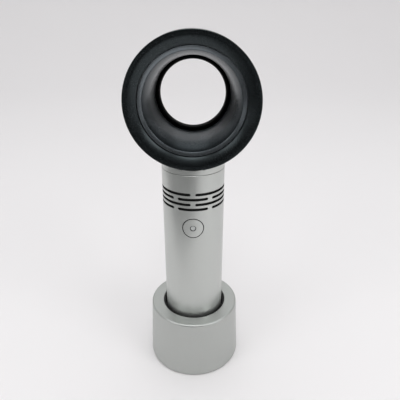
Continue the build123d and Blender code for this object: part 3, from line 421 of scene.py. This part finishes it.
# the head's rings as (radius, place along Y) in mm, from the inside edge round to the back
bezel = {
    "node": "front_bezel",
    "outline": [(28.11, -14.65), (30.2, -16.1), (32.8, -17.0), (35.0, -17.0), (35.0, -14.35), (33.2, -14.35),
                (33.2, -11.75), (32.5, -11.75), (32.5, -10.75), (33.2, -10.75), (33.2, -9.3),
                (31.8, -9.3), (31.8, -14.34), (28.11, -13.05)],
    "rounds": [(28.11, -14.65, 0.15, 3), (30.2, -16.1, 1.8, 10), (32.8, -17.0, 0.7, 8), (35.0, -17.0, 0.4, 5),
               (35.0, -14.35, 0.1, 2)],
}
funnel = {
    "node": "funnel",
    "outline": [(27.65, -14.65), (25.6, -13.8), (23.05, -8.07), (20.85, 11.25), (22.35, 11.25),
                (24.55, -8.07), (27.1, -11.7), (29.71, -11.7), (29.71, -12.9), (27.65, -12.9)],
    "rounds": [(27.65, -14.65, 0.12, 3), (25.6, -13.8, 0.12, 3), (23.05, -8.07, 5.7, 16),
               (20.85, 11.25, 0.3, 5), (22.35, 11.25, 0.3, 4)],
}
innerRing = {
    "node": "throat_ring",
    "outline": [(18.94, 13.15), (18.44, 14.75), (18.54, 17.3), (22.5, 17.3), (22.5, 15.7), (24.0, 15.7),
                (24.0, 14.2), (21.04, 14.2), (19.84, 13.15)],
    "rounds": [(18.94, 13.15, 0.25, 4), (18.44, 14.75, 0.7, 6), (18.54, 17.3, 1.4, 8),
               (22.5, 17.3, 0.3, 4), (19.84, 13.15, 0.25, 4)],
}

for part in (bezel, funnel, innerRing):
    piece = turnPiece(part["node"] + "Turned", part["outline"], True, headHeight)
    roundRings(piece, part["rounds"], True, headHeight)
    finishPiece(piece, part["node"], "fan")
print("head's turned rings made")


view = {"place": (3.89, -221.05, 214.37), "down": 25.03, "focalPixels": 410.75, "imagePixels": 400,
        "sensor": 36, "nearest": 0.01, "farthest": 50}


def makeCamera():
    data = bpy.data.cameras.new("photoCamera")
    data.sensor_width = view["sensor"]
    data.lens = view["sensor"] * view["focalPixels"] / view["imagePixels"]
    data.clip_start = view["nearest"]
    data.clip_end = view["farthest"]
    camera = bpy.data.objects.new("photoCamera", data)
    bpy.context.scene.collection.objects.link(camera)
    camera.location = [value * mm for value in view["place"]]
    camera.rotation_euler = (radians(90 - view["down"]), 0, 0)
    bpy.context.scene.camera = camera


studio = {"paper": (0.835, 0.82, 0.825, 1), "shade": 0.985, "floorRadius": 1.0, "bend": 1.5, "bendSteps": 14,
          "steps": 96, "wallTop": 2.2, "cloudSize": 3, "cloudSheen": 0.05, "rough": 0.8, "specular": 0.1,
          "sky": 0.35, "skyColour": (0.97, 0.99, 1.0, 1)}
lamps = {
    "keyRight": {"place": (0.85, -0.65, 0.75), "aim": (0, 0, 0.1), "size": 0.6, "power": 3.0},
    "frontTop": {"place": (0.0, -0.65, 1.15), "aim": (0, 0, 0.12), "size": 0.5, "power": 3.0},
    "backSoft": {"place": (0.0, 1.4, 1.25), "aim": (0, 0, 0.05), "size": 1.2, "power": 1.8},
    "fillLeft": {"place": (-0.85, -0.7, 0.75), "aim": (0, 0, 0.1), "size": 0.6, "power": 2.2},
    "topSoft": {"place": (0.0, 0.3, 2.1), "aim": (0, 0.3, 0.0), "size": 2.4, "power": 21.5},
}
# dark cards that only the object's reflections see
cards = {
    "backLeft": {"place": (-0.3, 0.62, 0.14), "size": (0.58, 0.27), "turn": (90, 0, 0), "tone": 0.13},
    "backRight": {"place": (0.3, 0.62, 0.14), "size": (0.58, 0.27), "turn": (90, 0, 0), "tone": 0.25},
    "frontFloor": {"place": (0.0, -1.42, 0.001), "size": (5.0, 2.0), "turn": (0, 0, -14), "tone": 0.03},
    "frontUpright": {"place": (-0.2, -1.35, 0.5), "size": (3.6, 1.0), "turn": (90, 0, 0), "tone": 0.06},
    "leftFloor": {"place": (-0.45, -0.50, 0.0008), "size": (1.2, 1.0), "turn": (0, 0, -42), "tone": 0.22},
}
cloth = {"weaveSize": 40, "weave": 0.1, "rough": 0.9, "specular": 0.1}


def makeCove():
    # round floor that curves up into a wall all round
    floorRadius, bend, steps = studio["floorRadius"], studio["bend"], studio["bendSteps"]
    rim = floorRadius + bend
    outline = [(rim / mm, studio["wallTop"] / mm)]
    for i in range(steps + 1):
        turn = radians(90 * (1 - i / steps))
        outline.append(((floorRadius + bend * sin(turn)) / mm, bend * (1 - cos(turn)) / mm))
    cove = turnPiece("studioCove", outline, steps=studio["steps"], closed=False)
    makeActive(cove)
    bpy.ops.object.mode_set(mode="EDIT")
    bpy.ops.mesh.select_mode(type="EDGE")
    bpy.ops.mesh.select_all(action="DESELECT")
    bpy.ops.object.mode_set(mode="OBJECT")
    for edge in cove.data.edges:
        edge.select = all(abs(cove.data.vertices[i].co.z) < turning["onRing"] for i in edge.vertices)
    bpy.ops.object.mode_set(mode="EDIT")
    bpy.ops.mesh.edge_face_add()
    bpy.ops.mesh.select_all(action="SELECT")
    bpy.ops.mesh.normals_make_consistent(inside=True)
    bpy.ops.object.mode_set(mode="OBJECT")
    bpy.ops.object.shade_smooth()
    finish = Finish("paperWhite")
    cloud = finish.noise(finish.place(), studio["cloudSize"], detail=3, rough=0.5)
    finish.set(Base_Color=finish.blend(cloud, tinted(studio["paper"], studio["shade"]), studio["paper"]),
               Roughness=studio["rough"] + studio["cloudSheen"] * (cloud - 0.5),
               Specular_IOR_Level=studio["specular"])
    cove.data.materials.append(finish.material)


def makeCard(name, settings):
    bpy.ops.object.select_all(action="DESELECT")
    bpy.ops.mesh.primitive_plane_add(size=1, location=settings["place"],
                                     rotation=[radians(value) for value in settings["turn"]])
    card = bpy.context.object
    card.name = name
    card.scale = (*settings["size"], 1)
    bpy.ops.object.transform_apply(location=True, rotation=True, scale=True)
    card.visible_camera = False  # neither the picture nor the floor's light shows the card
    card.visible_diffuse = False
    card.visible_shadow = False
    finish = Finish(name + "Cloth")
    weave = finish.noise(finish.place(), cloth["weaveSize"], detail=3, rough=0.5)
    low, high = settings["tone"] * (1 - cloth["weave"]), settings["tone"] * (1 + cloth["weave"])
    finish.set(Base_Color=finish.blend(weave, grey(low), grey(high)), Roughness=cloth["rough"],
               Specular_IOR_Level=cloth["specular"])
    card.data.materials.append(finish.material)


def makeLamp(name, settings):
    data = bpy.data.lights.new(name, "AREA")
    data.energy = settings["power"]
    data.size = settings["size"]
    lamp = bpy.data.objects.new(name, data)
    bpy.context.scene.collection.objects.link(lamp)
    lamp.location = settings["place"]
    direction = Vector(settings["aim"]) - Vector(settings["place"])
    lamp.rotation_euler = direction.to_track_quat("-Z", "Y").to_euler()


def makeSky():
    world = bpy.data.worlds.new("studioSky")
    bpy.context.scene.world = world
    world.use_nodes = True
    background = world.node_tree.nodes["Background"]
    background.inputs["Color"].default_value = studio["skyColour"]
    background.inputs["Strength"].default_value = studio["sky"]


makeCamera()
makeCove()
for name, settings in cards.items():
    makeCard(name, settings)
for name, settings in lamps.items():
    makeLamp(name, settings)
makeSky()
bpy.context.scene.view_settings.view_transform = "Standard"
print("camera and studio made")
